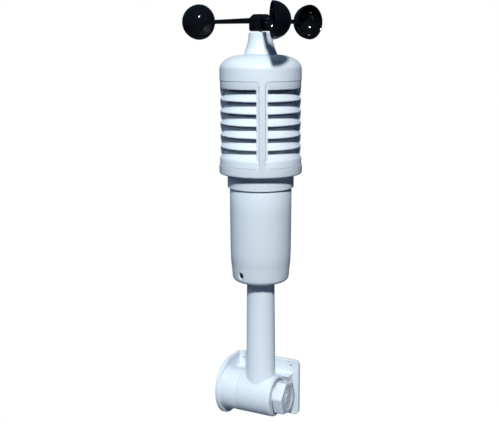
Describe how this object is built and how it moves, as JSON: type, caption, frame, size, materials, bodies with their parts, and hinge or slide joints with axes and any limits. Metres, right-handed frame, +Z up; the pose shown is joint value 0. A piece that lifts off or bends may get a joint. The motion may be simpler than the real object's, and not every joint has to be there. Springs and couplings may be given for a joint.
{
  "type": "cup anemometer",
  "caption": "Cup anemometer with a louvred sensor shield and battery sleeve on a pole that tilts in a wall bracket with a clamp knob.",
  "frame": {"origin": "on the wall plate's back face, level with the pivot axis and straight behind the mast", "axes": "+Z up along the mast, +Y into the wall, +X along the pivot barrel towards the clamp knob"},
  "size_m": [0.1345, 0.141, 0.4234],
  "materials": {
    "white_asa": "smooth semi-gloss white, light weathering",
    "gloss_black": "high gloss black",
    "core_grey": "plain grey",
    "steel": "stainless",
    "brass": "turned",
    "nickel": "nickel plated wire and strip",
    "circuit_board": "green solder mask",
    "rubber": "matte black",
    "cell_wrap": "blue film sleeve",
    "magnet": "sintered ferrite",
    "lamp_glass": "clear",
    "screen": "dark filter fabric on a frame",
    "red_plastic": "red"
  },
  "bodies": {
    "bracket": {"wall_bracket": "white_asa", "pivot_bolt": "steel", "knob_washer": "steel"},
    "knob": {"clamp_knob": "white_asa", "knob_nut": "brass"},
    "mast": {"mast_pole": "white_asa", "swivel_screw": "steel", "swivel_washer": "steel"},
    "sleeve": {"battery_sleeve": "white_asa", "sleeve_screw": "steel"},
    "button": {"reset_button": "red_plastic"},
    "rotor": {"rotor_shaft": "steel", "magnet_holder": "gloss_black", "rotor_magnet": "magnet", "rotor_hub": "gloss_black", "hub_cap": "gloss_black", "cup_arm_1": "gloss_black", "cup_arm_2": "gloss_black", "cup_arm_3": "gloss_black"},
    "head": {"shield_frame": "white_asa", "louvre_panel_left": "white_asa", "louvre_panel_right": "white_asa", "shield_base": "white_asa", "bearing_tower": "white_asa", "climate_sensor": "white_asa", "battery_carrier": "core_grey", "radio_module": "steel", "button_body": "steel", "base_screw_1": "steel", "base_screw_2": "steel", "carrier_screw_1": "steel", "carrier_screw_2": "steel", "tower_screw_1": "steel", "tower_screw_2": "steel", "tower_screw_3": "steel", "reed_screw_1": "steel", "reed_screw_2": "steel", "upper_bush": "brass", "lower_bush": "brass", "antenna": "brass", "cell_spring_1": "nickel", "cell_spring_2": "nickel", "cell_contact_1": "nickel", "cell_contact_2": "nickel", "main_board": "circuit_board", "sensor_board": "circuit_board", "reed_board": "circuit_board", "seal_ring": "rubber", "cell_1": "cell_wrap", "cell_2": "cell_wrap", "reed_switch": "lamp_glass", "inner_screen": "screen", "status_lamp": "red_plastic"}
  },
  "joints": [
    {"name": "knob_turn", "type": "hinge", "parent": "bracket", "child": "knob", "pos_m": [0, -0.0315, 0], "axis": [1, 0, 0], "range_deg": [0, 360]},
    {"name": "mast_tilt", "type": "hinge", "parent": "bracket", "child": "mast", "pos_m": [0, -0.0315, 0], "axis": [1, 0, 0], "range_deg": [0, 180]},
    {"name": "head_swivel", "type": "hinge", "parent": "mast", "child": "head", "pos_m": [0, -0.0315, 0.15], "axis": [0, 0, 1], "continuous": true},
    {"name": "sleeve_slide", "type": "slide", "parent": "head", "child": "sleeve", "axis": [0, 0, -1], "range_m": [0, 0.088]},
    {"name": "button_press", "type": "slide", "parent": "head", "child": "button", "axis": [0, 1, 0], "range_m": [0, 0.0003], "stiffness_N_per_m": 2000, "springref_m": -0.0002},
    {"name": "rotor_spin", "type": "hinge", "parent": "head", "child": "rotor", "pos_m": [0, -0.0315, 0.3772], "axis": [0, 0, 1], "continuous": true}
  ]
}
